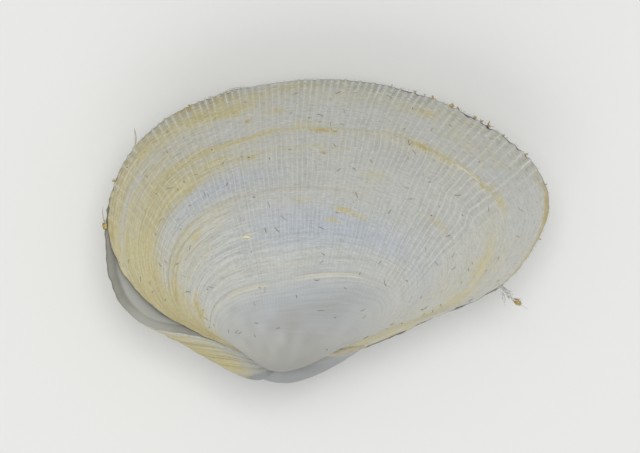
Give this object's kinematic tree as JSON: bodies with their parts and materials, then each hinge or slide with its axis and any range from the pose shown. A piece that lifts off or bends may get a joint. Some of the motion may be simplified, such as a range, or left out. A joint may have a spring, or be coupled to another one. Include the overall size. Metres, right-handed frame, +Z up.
{
  "type": "clam shell",
  "caption": "Small thin-walled bivalve shell, closed, lying on its lower valve, with the horny hinge ligament still in place.",
  "frame": {"origin": "on the resting plane, below the middle of the closed shell's box", "axes": "+X towards the rear end of the shell, +Y towards the ventral edge, +Z up through the right valve"},
  "size_m": [0.03, 0.0206, 0.0125],
  "materials": {
    "shell": "chalky white calcium carbonate with a faint pearly sheen, fine growth lines and yellow-brown staining",
    "ligament": "dry brown horny organic strip"
  },
  "bodies": {
    "root": {"right_valve": "shell", "left_valve": "shell", "ligament": "ligament"}
  },
  "joints": []
}
